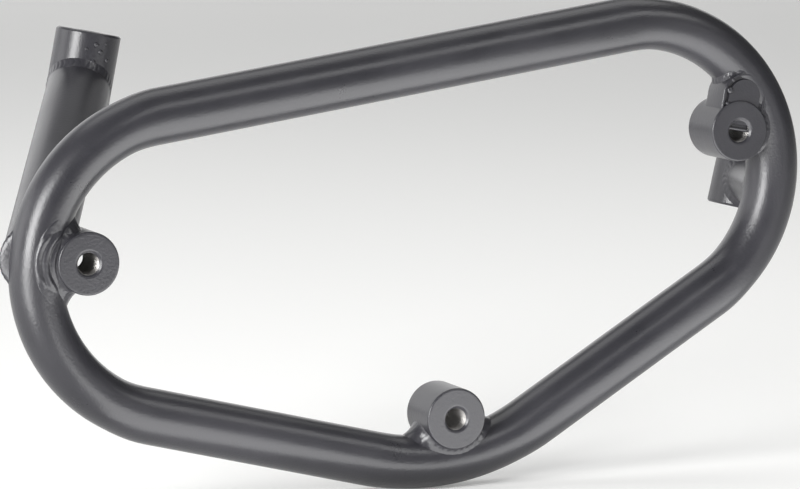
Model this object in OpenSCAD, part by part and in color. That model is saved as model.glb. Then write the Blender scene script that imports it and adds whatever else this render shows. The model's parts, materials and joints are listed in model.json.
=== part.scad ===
// Side pannier frame of a motorbike: a closed loop of bent steel tube with three threaded
// bosses for the case, carried by a strut and a stub that end in bolt sleeves.
// Millimetres. X runs along the loop, Z is up, and the bosses face -Y, away from the bike.
// The origin is on the axis of the left boss, in the middle plane of the loop tube.

/* [Loop tube] */
// Outside diameter of the loop tube
loop_d = 18; // [16:0.5:20]
// Wall thickness of the loop tube
loop_wall = 2; // [1.25:0.25:3]
// Centre-line radius of the two end bends
end_bend_r = 48.5; // [44:0.5:54]
// Centre-line radius of the wide bottom bend
bottom_bend_r = 76; // [68:1:84]
// Right bend centre, along from the left bend centre
right_bend_x = 158.5; // [145:0.5:175]
// Right bend centre, up from the left bend centre
right_bend_z = 24; // [16:0.5:32]
// Bottom bend centre, along from the left bend centre
bottom_bend_x = 81; // [70:0.5:92]
// Bottom bend centre, up from the left bend centre
bottom_bend_z = 8.5; // [3:0.5:14]
// Root gap where the two ends of the loop tube are butt-welded
seam_gap = 1.6; // [1:0.1:3]
// Distance of that butt weld along the top straight
seam_along = 34; // [20:1:100]

/* [Case bosses] */
// Outside diameter of a boss
boss_d = 20; // [19:0.5:22]
// Length of a boss
boss_len = 18.5; // [16:0.5:24]
// How far a boss face stands in front of the tube
boss_proud = 1; // [0.5:0.25:3]
// Depth that a boss is let into the side of the tube
boss_bite = 4.8; // [3.5:0.1:6]
// Tapping hole of the M8 thread
thread_hole_d = 6.8; // [6:0.1:8]
// Mouth of the thread's lead-in chamfer
thread_mouth_d = 8.4; // [8.2:0.1:9.5]
// Chamfer on the outer edges of a boss
boss_edge = 0.5; // [0.2:0.1:1]
// Place of the left boss round the left bend, in degrees
boss_left_at = 174; // [165:1:185]
// Place of the lower boss round the bottom bend, in degrees
boss_lower_at = -82; // [-90:1:-76]
// Place of the upper boss round the right bend, in degrees
boss_upper_at = 22; // [12:1:32]

/* [Gusset at the upper boss] */
// Width of the gusset
gusset_w = 15.5; // [14:0.5:18]
// Thickness of the gusset
gusset_t = 12; // [6:0.5:14]
// Step from the boss face back to the gusset face
gusset_step = 0.8; // [0.5:0.1:2]
// Distance from the boss axis to the middle of the gusset's round top
gusset_reach = 11.5; // [10:0.5:14]
// Lean of the gusset from upright, in degrees
gusset_lean = 10; // [0:1:15]
// Leg of the fillet that holds the gusset on the tube
gusset_leg = 1.5; // [1:0.1:2]

/* [Bolt sleeves] */
// Outside diameter of a sleeve
sleeve_d = 22; // [21.8:0.2:26]
// Bolt hole of a sleeve
sleeve_bore_d = 8.5; // [8.2:0.1:10.5]
// Length of the strut's sleeve
strut_sleeve_len = 36; // [32:1:44]
// Length of the stub's sleeve
stub_sleeve_len = 28; // [26:1:40]
// Lean of the strut's sleeve from upright, top towards +X, in degrees
strut_sleeve_lean = 11; // [0:1:15]
// Lean of the stub's sleeve from upright, top towards +X, in degrees
stub_sleeve_lean = 13; // [0:1:15]
// Chamfer on the ends of a sleeve
sleeve_edge = 0.6; // [0.2:0.1:1.2]

/* [Strut] */
// Outside diameter of the strut
strut_d = 21.3; // [20:0.1:21.5]
// Wall thickness of the strut and the stub
strut_wall = 2; // [1.5:0.25:3]
// Place of the strut round the left bend, in degrees
strut_at = 174; // [165:1:185]
// Strut sleeve axis, along from the strut's foot
strut_reach_x = 50; // [40:1:60]
// Strut sleeve axis, back from the loop's middle plane
strut_reach_y = 110; // [90:1:130]
// Strut sleeve axis, up from the strut's foot
strut_reach_z = 44; // [34:1:54]
// Middle of the strut's sleeve, up its own axis from where the strut meets it
strut_sleeve_rise = 0; // [-3:0.5:3]

/* [Stub] */
// Outside diameter of the stub
stub_d = 16; // [14:0.5:17.5]
// Place of the stub round the right bend, in degrees
stub_at = -10; // [-20:1:0]
// Stub sleeve axis, along from the stub's foot
stub_reach_x = 11; // [5:1:20]
// Stub sleeve axis, back from the loop's middle plane
stub_reach_y = 40; // [34:1:60]
// Stub sleeve axis, up from the stub's foot
stub_reach_z = 0; // [-6:1:6]
// Middle of the stub's sleeve, up its own axis from where the stub meets it
stub_sleeve_rise = 3.5; // [0:0.5:5]

/* [Feet of the strut and the stub] */
// How far the two ends stop behind the loop's middle plane
foot_end_y = 2; // [1:0.5:3]
// Leg of the fillets where they stand on the loop
foot_leg = 2; // [1.5:0.1:3]
// Width of a fillet where its brace is wider than the loop
foot_side = 0.6; // [0.4:0.1:1.2]

/* [Welds] */
// Radius of a weld bead
bead_r = 2.7; // [2.2:0.1:2.9]
// Distance from one ripple of a bead to the next
ripple_pitch = 3; // [2.9:0.1:3.6]

/* [Hidden] */
$fn = 96;
paint = [0.21, 0.21, 0.23];
bead_paint = [0.25, 0.25, 0.27];
loop_r = loop_d / 2;
boss_r = boss_d / 2;
// A boss axis lies this far in from the tube's centre line, its face this far in front of it
boss_inset = loop_r + boss_r - boss_bite;
boss_front = loop_r + boss_proud;
strut_r = strut_d / 2;
sleeve_r = sleeve_d / 2;
// A cut runs past what it cuts by this much
over = 1;
// A bend draws the tube thinner than a straight by this much, and a straight runs on into it
straight_more = 0.1;
run_on = 0.6;
// Facets of a bend, fine enough for its mesh to follow the welds, and steps of a computed seam
bend_facets = 240;
seam_step = 4;
halvings = 24;

// The loop is a belt round three bends, taken clockwise: [centre x, centre z, radius]
left_bend = [0, 0, end_bend_r];
right_bend = [right_bend_x, right_bend_z, end_bend_r];
bottom_bend = [bottom_bend_x, bottom_bend_z, bottom_bend_r];
bends = [left_bend, right_bend, bottom_bend];
LEFT = 0;
RIGHT = 1;
BOTTOM = 2;

function bend(i) = bends[(i + len(bends)) % len(bends)];
function gap(i) = [bend(i + 1).x - bend(i).x, bend(i + 1).y - bend(i).y];
// Heading of the straight that leaves bend i, and its length
function heading(i) =
    atan2(gap(i).y, gap(i).x) + asin((bend(i + 1).z - bend(i).z) / norm(gap(i)));
function straight_len(i) =
    sqrt(norm(gap(i)) ^ 2 - (bend(i + 1).z - bend(i).z) ^ 2);
function turn(i) = (heading(i - 1) - heading(i) + 720) % 360;
// A point round a bend, a distance in from the tube's centre line
function round_bend(b, angle, inset = 0) =
    [b.x, b.y] + (b.z - inset) * [cos(angle), sin(angle)];

// The left boss is the origin, so every place in the loop's sketch is taken from it
origin = round_bend(left_bend, boss_left_at, boss_inset);
boss_left_p = [0, 0];
boss_lower_p = round_bend(bottom_bend, boss_lower_at, boss_inset) - origin;
boss_upper_p = round_bend(right_bend, boss_upper_at, boss_inset) - origin;

function in_space(p, y = 0) = [p.x, y, p.y];
function unit(v) = v / norm(v);

// Feet of the strut and the stub on the loop's centre line, and where they meet their sleeves
strut_foot = in_space(round_bend(left_bend, strut_at) - origin);
strut_head = strut_foot + [strut_reach_x, strut_reach_y, strut_reach_z];
stub_foot = in_space(round_bend(right_bend, stub_at) - origin);
stub_head = stub_foot + [stub_reach_x, stub_reach_y, stub_reach_z];
function leaning(angle) = [sin(angle), 0, cos(angle)];
strut_sleeve_axis = leaning(strut_sleeve_lean);
stub_sleeve_axis = leaning(stub_sleeve_lean);
strut_sleeve_p = strut_head + strut_sleeve_rise * strut_sleeve_axis;
stub_sleeve_p = stub_head + stub_sleeve_rise * stub_sleeve_axis;

// Turns a shape that stands along Z to stand along a direction, from a point
module along(p, direction)
    translate(p)
        rotate([0, acos(direction.z / norm(direction)), atan2(direction.y, direction.x)])
            children();

// A round bar that follows one bend
module bend_bar(i, d)
    rotate([90, 0, 0])
        translate([bend(i).x, bend(i).y] - origin)
            rotate(heading(i) + 90)
                rotate_extrude(angle = turn(i), $fn = bend_facets)
                    translate([bend(i).z, 0])
                        circle(d = d);

// The straight that leaves bend i, run on a little into the bends at its two ends
module straight_bar(i, d)
    rotate([90, 0, 0])
        translate(round_bend(bend(i), heading(i) + 90) - origin)
            rotate([0, 90, heading(i)])
                translate([0, 0, -run_on])
                    cylinder(d = d + straight_more, h = straight_len(i) + 2 * run_on);

// A round bar that follows the whole loop
module loop_bar(d)
    for (i = [0 : len(bends) - 1]) {
        bend_bar(i, d);
        straight_bar(i, d);
    }

// A slice across the top straight, where the tube's two ends meet
module seam_slice(d)
    rotate([90, 0, 0])
        translate(round_bend(left_bend, heading(0) + 90) - origin)
            rotate([0, 90, heading(0)])
                translate([0, 0, seam_along])
                    cylinder(d = d, h = seam_gap);

module loop_tube()
    color(paint)
        difference() {
            loop_bar(loop_d);
            loop_bar(loop_d - 2 * loop_wall);
            seam_slice(loop_d + 2 * over);
        }

// Filled to the tube's outside and ground flush
module loop_closing_weld()
    color(paint)
        difference() {
            seam_slice(loop_d + straight_more);
            straight_bar(0, loop_d - 2 * loop_wall);
        }

// Turned boss, drilled through and chamfered for the thread, before it is coped
module boss_blank(p)
    translate(in_space(p, -boss_front))
        rotate([-90, 0, 0])
            rotate_extrude()
                boss_section();

module boss_section() {
    hole_r = thread_hole_d / 2;
    mouth_r = thread_mouth_d / 2;
    lead = mouth_r - hole_r;
    polygon([
        [mouth_r, 0],
        [boss_r - boss_edge, 0],
        [boss_r, boss_edge],
        [boss_r, boss_len - boss_edge],
        [boss_r - boss_edge, boss_len],
        [mouth_r, boss_len],
        [hole_r, boss_len - lead],
        [hole_r, lead],
    ]);
}

// The same outline without its hole and chamfers, used to clear what meets it
module boss_envelope(p)
    translate(in_space(p, -boss_front))
        rotate([-90, 0, 0])
            cylinder(r = boss_r, h = boss_len);

module coped_boss(p, i)
    color(paint)
        difference() {
            boss_blank(p);
            bend_bar(i, loop_d);
        }

module boss_left() coped_boss(boss_left_p, LEFT);
module boss_lower() coped_boss(boss_lower_p, BOTTOM);
module boss_upper() coped_boss(boss_upper_p, RIGHT);

// Round-topped block that fills the corner between the upper boss and the right bend
module gusset_envelope(w = gusset_w, t = gusset_t)
    translate(in_space(boss_upper_p, gusset_step - boss_front))
        rotate([0, gusset_lean, 0])
            rotate([-90, 0, 0])
                linear_extrude(t) {
                    translate([-w / 2, -gusset_reach])
                        square([w, gusset_reach]);
                    translate([0, -gusset_reach])
                        circle(d = w);
                }

// The gusset with its fillet, as far as that fillet stands out from it
module gusset_and_fillet()
    gusset_envelope(gusset_w + 2 * gusset_leg, gusset_t + gusset_leg);

module gusset_upper()
    color(paint)
        difference() {
            gusset_envelope();
            boss_envelope(boss_upper_p);
            bend_bar(RIGHT, loop_d);
        }

// Sleeve of round bar with its bolt hole, round its own middle
module sleeve(p, axis, length)
    color(paint)
        along(p, axis)
            translate([0, 0, -length / 2])
                rotate_extrude()
                    sleeve_section(length);

module sleeve_section(length) {
    bore_r = sleeve_bore_d / 2;
    polygon([
        [bore_r + sleeve_edge, 0],
        [sleeve_r - sleeve_edge, 0],
        [sleeve_r, sleeve_edge],
        [sleeve_r, length - sleeve_edge],
        [sleeve_r - sleeve_edge, length],
        [bore_r + sleeve_edge, length],
        [bore_r, length - sleeve_edge],
        [bore_r, sleeve_edge],
    ]);
}

module sleeve_envelope(p, axis, length)
    along(p, axis)
        translate([0, 0, -length / 2])
            cylinder(r = sleeve_r, h = length);

module strut_sleeve() sleeve(strut_sleeve_p, strut_sleeve_axis, strut_sleeve_len);
module stub_sleeve() sleeve(stub_sleeve_p, stub_sleeve_axis, stub_sleeve_len);

// Bar from a foot on the loop to a head in a sleeve
module brace_bar(foot, head, d)
    along(foot - strut_r * unit(head - foot), head - foot)
        cylinder(d = d, h = norm(head - foot) + strut_r);

module brace(foot, head, d)
    difference() {
        brace_bar(foot, head, d);
        brace_bar(foot, head, d - 2 * strut_wall);
    }

// Everything in front of a plane behind the loop's middle plane
module front_of(y, p)
    translate([p.x - 2 * strut_d, y - 4 * strut_d, p.z - 2 * strut_d])
        cube(4 * strut_d);

module strut_tube()
    color(paint)
        difference() {
            brace(strut_foot, strut_head, strut_d);
            bend_bar(LEFT, loop_d);
            sleeve_envelope(strut_head, strut_sleeve_axis, 2 * strut_sleeve_len);
            front_of(foot_end_y, strut_foot);
            boss_envelope(boss_left_p);
        }

module stub_tube()
    color(paint)
        difference() {
            brace(stub_foot, stub_head, stub_d);
            bend_bar(RIGHT, loop_d);
            sleeve_envelope(stub_head, stub_sleeve_axis, 2 * stub_sleeve_len);
            front_of(foot_end_y, stub_foot);
        }

// Distance of a point outside a sleeve on an endless axis
function off_sleeve(p, middle, axis) =
    norm(cross(p - middle, axis)) - sleeve_r;
// Where a distance function changes sign between two places on a line
function crossing(f, low, high, steps = halvings) =
    steps == 0 ? (low + high) / 2 :
    f((low + high) / 2) > 0 ? crossing(f, low, (low + high) / 2, steps - 1) :
    crossing(f, (low + high) / 2, high, steps - 1);

// Point on the outside of a brace: an angle round it and a distance up it
function across_a(s) = unit(cross(s, [0, 0, 1]));
function across_b(s) = cross(across_a(s), s);
function brace_skin(foot, s, r, angle, up) =
    foot + up * s + r * (cos(angle) * across_a(s) + sin(angle) * across_b(s));

// Points set evenly along a closed line that is given by many fine points
function spread(fine) =
    let (n = len(fine),
         sums = [for (i = 0, sum = 0; i <= n; sum = sum + norm(fine[(i + 1) % n] - fine[i % n]),
                 i = i + 1) sum],
         count = floor(sums[n] / ripple_pitch))
    [for (k = [0 : count - 1])
        let (goal = sums[n] * k / count,
             i = max([for (j = [0 : n - 1]) if (sums[j] <= goal) j]),
             part = (goal - sums[i]) / (sums[i + 1] - sums[i]))
        fine[i] + part * (fine[(i + 1) % n] - fine[i])];

// Seam of a brace on its sleeve, all round the brace
function head_seam(foot, head, axis, r) =
    let (s = unit(head - foot), reach = norm(head - foot))
    [for (angle = [0 : seam_step : 360 - seam_step])
        let (at = function (down) brace_skin(foot, s, r, angle, reach - down),
             off = function (down) off_sleeve(at(down), head, axis))
        at(crossing(off, 0, 4 * sleeve_r))];

// Seam of a boss on the inside of a bend, from the front by one side to the rear and back
function boss_seam(b, at) =
    let (deep = sqrt(loop_r ^ 2 - (boss_inset - boss_r) ^ 2), axis_r = b.z - boss_inset)
    [for (a = [0 : seam_step : 360 - seam_step])
        let (y = -deep * cos(a),
             tube_r = b.z - sqrt(loop_r ^ 2 - y ^ 2),
             c = (tube_r ^ 2 - axis_r ^ 2 - boss_r ^ 2) / (2 * axis_r * boss_r),
             swing = sign(sin(a)) * acos(min(1, c)))
        in_space(round_bend(b, at, boss_inset) - origin
            + boss_r * [cos(at + swing), sin(at + swing)], y)];

module bead(fine)
    for (p = spread(fine))
        translate(p)
            sphere(r = bead_r);

module boss_weld(p, i, at)
    color(bead_paint)
        difference() {
            bead(boss_seam(bend(i), at));
            boss_envelope(p);
            bend_bar(i, loop_d);
            front_of(boss_edge - boss_front, in_space(p));
        }

// The left boss is welded after the strut, up to the strut's own fillet
module weld_boss_left()
    difference() {
        boss_weld(boss_left_p, LEFT, boss_left_at);
        difference() {
            brace_bar(strut_foot, strut_head, strut_d + 2 * foot_leg);
            front_of(foot_end_y - foot_leg / 2, strut_foot);
        }
    }
module weld_boss_lower() boss_weld(boss_lower_p, BOTTOM, boss_lower_at);
module weld_boss_upper()
    difference() {
        boss_weld(boss_upper_p, RIGHT, boss_upper_at);
        gusset_and_fillet();
    }

// Fillet along the gusset's sides and back, in the corner that they make with the bend
module weld_gusset()
    color(bead_paint)
        difference() {
            intersection() {
                gusset_and_fillet();
                bend_bar(RIGHT, loop_d + 2 * gusset_leg);
            }
            gusset_envelope();
            boss_envelope(boss_upper_p);
            bend_bar(RIGHT, loop_d);
        }

// Fillet that fills the corner between a brace and the bend that it stands on
module foot_weld(foot, head, d, i)
    color(bead_paint)
        difference() {
            intersection() {
                brace_bar(foot, head, d + 2 * foot_leg);
                bend_bar(i, max(loop_d + 2 * foot_leg, d + 2 * foot_side));
            }
            brace_bar(foot, head, d);
            bend_bar(i, loop_d);
            front_of(foot_end_y - foot_leg / 2, foot);
        }

module head_weld(foot, head, d, p, axis, length)
    color(bead_paint)
        difference() {
            bead(head_seam(foot, head, axis, d / 2));
            brace_bar(foot, head, d);
            sleeve_envelope(p, axis, length);
        }

module weld_strut_loop()
    difference() {
        foot_weld(strut_foot, strut_head, strut_d, LEFT);
        boss_envelope(boss_left_p);
    }
module weld_stub_loop() foot_weld(stub_foot, stub_head, stub_d, RIGHT);
module weld_strut_sleeve()
    head_weld(strut_foot, strut_head, strut_d, strut_sleeve_p, strut_sleeve_axis, strut_sleeve_len);
module weld_stub_sleeve()
    head_weld(stub_foot, stub_head, stub_d, stub_sleeve_p, stub_sleeve_axis, stub_sleeve_len);

loop_tube();
loop_closing_weld();
boss_left();
boss_lower();
boss_upper();
gusset_upper();
strut_tube();
strut_sleeve();
stub_tube();
stub_sleeve();
weld_boss_left();
weld_boss_lower();
weld_boss_upper();
weld_gusset();
weld_strut_loop();
weld_strut_sleeve();
weld_stub_loop();
weld_stub_sleeve();
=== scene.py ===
"""A side pannier frame for a motorbike, in satin black powder coat over welded steel.

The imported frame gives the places; this file makes the finished surfaces, the weld beads,
the threads and the studio. Lengths are metres, X runs along the loop, Z is up and the
bosses face -Y.
"""

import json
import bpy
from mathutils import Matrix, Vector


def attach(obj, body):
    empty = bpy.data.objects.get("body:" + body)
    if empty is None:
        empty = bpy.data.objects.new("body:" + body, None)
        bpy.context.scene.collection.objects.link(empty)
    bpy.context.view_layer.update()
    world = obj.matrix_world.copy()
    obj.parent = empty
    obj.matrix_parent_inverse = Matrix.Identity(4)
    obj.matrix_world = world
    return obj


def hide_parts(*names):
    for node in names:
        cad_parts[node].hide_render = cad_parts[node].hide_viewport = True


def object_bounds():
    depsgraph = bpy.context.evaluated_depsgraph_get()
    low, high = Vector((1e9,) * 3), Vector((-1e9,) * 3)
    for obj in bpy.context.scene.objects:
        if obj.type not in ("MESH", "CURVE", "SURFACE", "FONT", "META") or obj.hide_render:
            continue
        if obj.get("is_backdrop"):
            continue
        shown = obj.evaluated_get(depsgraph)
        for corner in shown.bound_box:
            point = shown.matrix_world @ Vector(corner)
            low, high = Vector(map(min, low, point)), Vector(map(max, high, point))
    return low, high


bl_info = {
    "name": "Pannier Frame",
    "version": (1, 0, 0),
    "blender": (4, 5, 0),
    "location": "View3D > Sidebar > Pannier",
    "description": "Makes a welded side pannier frame, its powder coat and its studio",
    "category": "Add Mesh",
}

from math import acos, cos, pi, radians, sin, sqrt

import bmesh
import bpy
import numpy as np
from bpy.props import FloatProperty, FloatVectorProperty, IntProperty, PointerProperty
from mathutils import Matrix, Vector

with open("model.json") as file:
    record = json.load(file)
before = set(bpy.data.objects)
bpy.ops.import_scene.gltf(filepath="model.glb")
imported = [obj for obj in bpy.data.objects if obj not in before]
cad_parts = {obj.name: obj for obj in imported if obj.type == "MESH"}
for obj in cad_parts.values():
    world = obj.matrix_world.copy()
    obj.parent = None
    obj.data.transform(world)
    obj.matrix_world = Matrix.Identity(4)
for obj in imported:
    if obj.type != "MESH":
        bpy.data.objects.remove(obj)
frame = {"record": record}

MOUNTS = {mount["name"]: mount for mount in frame["record"]["mounts"]}
ROOT = "root"
MM = 0.001
LEFT, RIGHT, BOTTOM = 0, 1, 2
OUT = Vector((0, -1, 0))


# Kinds of setting


def size(label, text, value, **more):
    """A setting in metres."""
    return FloatProperty(name=label, description=text, default=value, unit="LENGTH", **more)


def sizes(label, text, values):
    """A row of settings in metres."""
    return FloatVectorProperty(
        name=label, description=text, default=values, size=len(values), unit="LENGTH")


def degrees(label, text, value):
    """An angle, given in degrees and kept in radians."""
    return FloatProperty(
        name=label, description=text, default=radians(value), subtype="ANGLE")


def portion(label, text, value):
    """A share of some other size."""
    return FloatProperty(name=label, description=text, default=value, subtype="FACTOR")


def colour(label, text, value):
    """A colour."""
    return FloatVectorProperty(
        name=label, description=text, default=value, size=3, subtype="COLOR")


def number(label, text, value):
    """A plain number."""
    return FloatProperty(name=label, description=text, default=value)


# Settings


class LoopSizes(bpy.types.PropertyGroup):
    """Sizes of the bent loop."""

    tube_d: size("Tube", "Outside diameter of the loop tube", 0.018, min=0.01)
    end_bend_r: size("End bends", "Centre-line radius of the two end bends", 0.0485)
    bottom_bend_r: size(
        "Bottom bend", "Centre-line radius of the wide bottom bend", 0.076)
    right_bend: sizes(
        "Right bend centre", "From the left bend centre, along and up", (0.1585, 0.024))
    bottom_bend: sizes(
        "Bottom bend centre", "From the left bend centre, along and up", (0.081, 0.0085))
    end_flat: portion(
        "Flattening", "Share of the tube's width that an end bend takes off", 0.065)
    bottom_flat: portion("Bottom flattening", "Share that the bottom bend takes off", 0.035)
    flat_run: size("Flattening run", "Length over which the flattening comes in", 0.014)


class BossSizes(bpy.types.PropertyGroup):
    """Sizes of the three case bosses and the gusset."""

    d: size("Boss", "Outside diameter of a boss", 0.020)
    length: size("Length", "Length of a boss", 0.0185)
    front: size(
        "Front", "How far a boss face stands in front of the tube's middle", 0.010)
    inset: size("Inset", "From the tube's centre line in to a boss axis", 0.0142)
    edge: size("Edge", "Radius of a boss edge under its coat", 0.0006)
    mouth_d: size("Mouth", "Mouth of the thread's lead-in chamfer", 0.0084)
    root_d: size("Thread root", "Diameter at the root of the thread", 0.0080)
    pitch: size("Pitch", "Pitch of the thread", 0.00125)
    left_at: degrees("Left", "Place of the left boss round its bend", 174)
    lower_at: degrees("Lower", "Place of the lower boss round its bend", -82)
    upper_at: degrees("Upper", "Place of the upper boss round its bend", 22)
    gusset_w: size("Gusset width", "Width of the gusset", 0.0155)
    gusset_t: size("Gusset thickness", "Thickness of the gusset", 0.012)
    gusset_step: size(
        "Gusset step", "From the boss face back to the gusset's face", 0.0008)
    gusset_reach: size(
        "Gusset reach", "From the boss axis to the middle of its round top", 0.0115)
    gusset_lean: degrees("Gusset lean", "Lean of the gusset from upright", 10)
    groove_rim: size("Groove rim", "Rim in front of the gusset's groove", 0.0002)
    groove_w: size("Groove width", "Width of the gusset's groove", 0.0009)
    groove_deep: size("Groove depth", "Depth of the gusset's groove", 0.0008)


class BraceSizes(bpy.types.PropertyGroup):
    """Sizes of the strut, the stub and their bolt sleeves."""

    strut_d: size("Strut", "Outside diameter of the strut", 0.0213)
    stub_d: size("Stub", "Outside diameter of the stub", 0.016)
    wall: size("Wall", "Wall thickness of the strut and the stub", 0.002)
    strut_at: degrees("Strut foot", "Place of the strut round the left bend", 174)
    stub_at: degrees("Stub foot", "Place of the stub round the right bend", -10)
    foot_end_y: size("Foot end", "How far a brace stops behind the loop's middle", 0.002)
    strut_rise: size(
        "Strut sleeve rise", "Strut sleeve's middle above the strut", 0.0)
    stub_rise: size("Stub sleeve rise", "Stub sleeve's middle above the stub", 0.0035)
    sleeve_d: size("Sleeve", "Outside diameter of a sleeve", 0.022)
    sleeve_edge: size("Sleeve edge", "Edge of a sleeve under its coat", 0.0006)


class WeldSizes(bpy.types.PropertyGroup):
    """Sizes of the weld beads."""

    step: size("Step", "From one station of a bead to the next", 0.00016)
    pitch: size("Ripple pitch", "From one ripple to the next", 0.0019)
    ripple: size("Ripple height", "Height of a ripple under the coat", 0.00013)
    lag: number("Ripple bow", "How far a ripple's middle runs ahead, in pitches", 0.45)
    wander: portion("Wander", "How unevenly the beads were laid, as a share", 0.35)
    sink: size("Sink", "How deep a bead's edges lie in the metal beside it", 0.00008)
    cover: size("Cover", "Least height of a bead over its seam", 0.00035)
    hollow: portion(
        "Hollow", "How far a bead's face dips in, as a share of its throat", 0.10)
    boss_leg: size("Boss leg", "Leg of a boss bead at the front and the back", 0.0023)
    web_legs: sizes(
        "Web legs", "Legs on the tube of the webs beside the left, lower and upper boss",
        (0.0062, 0.0066, 0.0038))
    web_lean: portion(
        "Web lean", "A web's leg on its boss, as a share of that on the tube", 0.8)
    gusset_leg: size("Gusset leg", "Leg of the gusset's bead", 0.0016)
    foot_leg: size("Foot leg", "Leg of a brace's foot bead", 0.0022)
    foot_side_leg: size(
        "Foot side leg", "Leg of a foot bead where the brace is widest", 0.0012)
    head_leg: size("Head leg", "Leg of a brace's head bead", 0.0021)
    ridge: size("Ridge", "Height of the passes laid beside the left boss", 0.00062)
    ridge_w: size("Ridge width", "Half width of one of those passes", 0.0010)
    seed: IntProperty(
        name="Seed", description="Seed of the uneven laying", default=11)


class CoatLook(bpy.types.PropertyGroup):
    """Colours and gloss."""

    coat: colour("Coat", "Colour of the powder coat", (0.016, 0.0158, 0.019))
    coat_light: colour(
        "Coat, light", "Colour of the coat's lighter mottle", (0.026, 0.0255, 0.030))
    gloss: portion("Roughness", "Roughness of the powder coat", 0.26)
    grain: size("Grain", "Width of the coat's fine texture", 0.0007)
    steel: colour("Steel", "Colour of the bare thread", (0.30, 0.29, 0.28))


class StageLook(bpy.types.PropertyGroup):
    """Floor, lamps and camera."""

    floor: colour("Floor", "Colour of the floor", (0.80, 0.80, 0.79))
    floor_glow: number(
        "Floor paleness", "What the camera and the gloss see added to the floor", 0.25)
    ambient: number("Ambient", "Strength of the light from all round", 0.13)
    sky_glow: number(
        "Sky paleness", "What the camera sees added to the light from all round", 0.67)
    lamp_share: number("Lamps", "Share of the lamps' full power", 1.0)
    yaw: degrees("Yaw", "Camera's turn to the left of the boss axes", 22)
    pitch: degrees("Pitch", "Camera's look downwards", 7)
    away: size("Distance", "Camera's distance from its target", 1.4)
    target: sizes("Target", "Point that the camera looks at", (0.108, 0, 0))
    picture_width: size("View width", "Width of the view at the target", 0.25723)


# Each lamp's name, its offset from the camera's target and that of the point that it faces,
# its width, its height and its power in watts
LAMPS = (
    ("Left softbox", (-1.18, -0.56, 0.25), (0, 0, 0), 0.60, 0.9, 33.0),
    ("Left low card", (-0.46, -0.12, -0.077), (-0.46, -0.12, 1), 0.42, 0.11, 1.5),
    ("Back left card", (-1.5, 0.6, 0.25), (0, 0, 0), 0.9, 0.9, 7.0),
    ("Low card", (0.047, -0.190, -0.077), (0.047, -0.190, 1), 0.31, 0.340, 1.2),
    ("Right strip", (0.85, -1.1, 0.2), (0, 0, 0), 0.45, 0.8, 1.2),
    ("Top strip", (0.5, -0.85, 1.0), (0, 0, 0), 1.3, 0.3, 5.0),
    ("Overhead", (0.1, 0.5, 1.3), (0, 0, 0), 1.6, 0.8, 7.0),
    ("Back softbox", (-0.3, 4.2, 1.3), (0, 0, 0), 9.0, 2.6, 95.0),
)

# The scene property that holds each group of settings
SETTINGS = {
    "pannier_loop": LoopSizes,
    "pannier_boss": BossSizes,
    "pannier_brace": BraceSizes,
    "pannier_weld": WeldSizes,
    "pannier_coat": CoatLook,
    "pannier_stage": StageLook,
}


# Places on the loop

WIDENING = 0.4  # how much a bend widens the tube across, as a share of its flattening


def eased(share):
    """A share from 0 to 1 that sets out and arrives gently."""
    share = np.clip(share, 0, 1)
    return share * share * (3 - 2 * share)


def bends():
    """Centres of the three bends as rows of x and z, and their radii."""
    loop = bpy.context.scene.pannier_loop
    boss = bpy.context.scene.pannier_boss
    radii = np.array([loop.end_bend_r, loop.end_bend_r, loop.bottom_bend_r])
    centres = np.array([(0, 0), tuple(loop.right_bend), tuple(loop.bottom_bend)], float)
    origin = (radii[LEFT] - boss.inset) * np.array([cos(boss.left_at), sin(boss.left_at)])
    return centres - origin, radii


def straights():
    """Heading and length of the straight that leaves each bend."""
    centres, radii = bends()
    gaps = np.roll(centres, -1, 0) - centres
    lengths = np.hypot(gaps[:, 0], gaps[:, 1])
    rises = np.roll(radii, -1) - radii
    heading = np.arctan2(gaps[:, 1], gaps[:, 0]) + np.arcsin(rises / lengths)
    return heading, np.sqrt(lengths ** 2 - rises ** 2)


def round_bend(i, angle, inset=0.0, y=0.0):
    """A point round bend i, a distance in from the tube's centre line."""
    centres, radii = bends()
    reach = radii[i] - inset
    return Vector((centres[i, 0] + reach * cos(angle), y, centres[i, 1] + reach * sin(angle)))


def flattened(i):
    """Semi-axes of the tube in the middle of bend i: in the loop's plane and across it."""
    loop = bpy.context.scene.pannier_loop
    share = loop.bottom_flat if i == BOTTOM else loop.end_flat
    half = loop.tube_d / 2
    return half * (1 - share), half * (1 + WIDENING * share)


def loop_stations(step):
    """Rows of x, z, outward x, outward z, and the tube's two semi-axes, round the loop."""
    loop = bpy.context.scene.pannier_loop
    centres, radii = bends()
    heading, length = straights()
    half = loop.tube_d / 2
    rows = []
    for i in (LEFT, RIGHT, BOTTOM):
        start = heading[i - 1] + pi / 2
        turn = (heading[i - 1] - heading[i]) % (2 * pi)
        arc = turn * radii[i]
        flat_in, flat_out = flattened(i)
        for s in np.arange(0, arc, step):
            angle = start - s / radii[i]
            ease = eased(min(s, arc - s) / loop.flat_run)
            out = np.array([cos(angle), sin(angle)])
            place = centres[i] + radii[i] * out
            rows.append([*place, *out, half + (flat_in - half) * ease,
                         half + (flat_out - half) * ease])
        out = np.array([cos(heading[i] + pi / 2), sin(heading[i] + pi / 2)])
        ahead = np.array([cos(heading[i]), sin(heading[i])])
        for s in np.arange(0, length[i], step):
            rows.append([*(centres[i] + radii[i] * out + s * ahead), *out, half, half])
    return np.array(rows)


def off_bend(p, i):
    """Distance of a point outside the flattened tube of bend i."""
    centres, radii = bends()
    flat_in, flat_out = flattened(i)
    across = np.hypot(p[0] - centres[i, 0], p[2] - centres[i, 1]) - radii[i]
    share = np.hypot(across / flat_in, p[1] / flat_out)
    return (share - 1) * flat_in


# Mesh making

TURNED_POINTS = 144  # points round a turned piece


def new_object(name, data):
    """An object in the scene."""
    thing = bpy.data.objects.new(name, data)
    bpy.context.scene.collection.objects.link(thing)
    return thing


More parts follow.
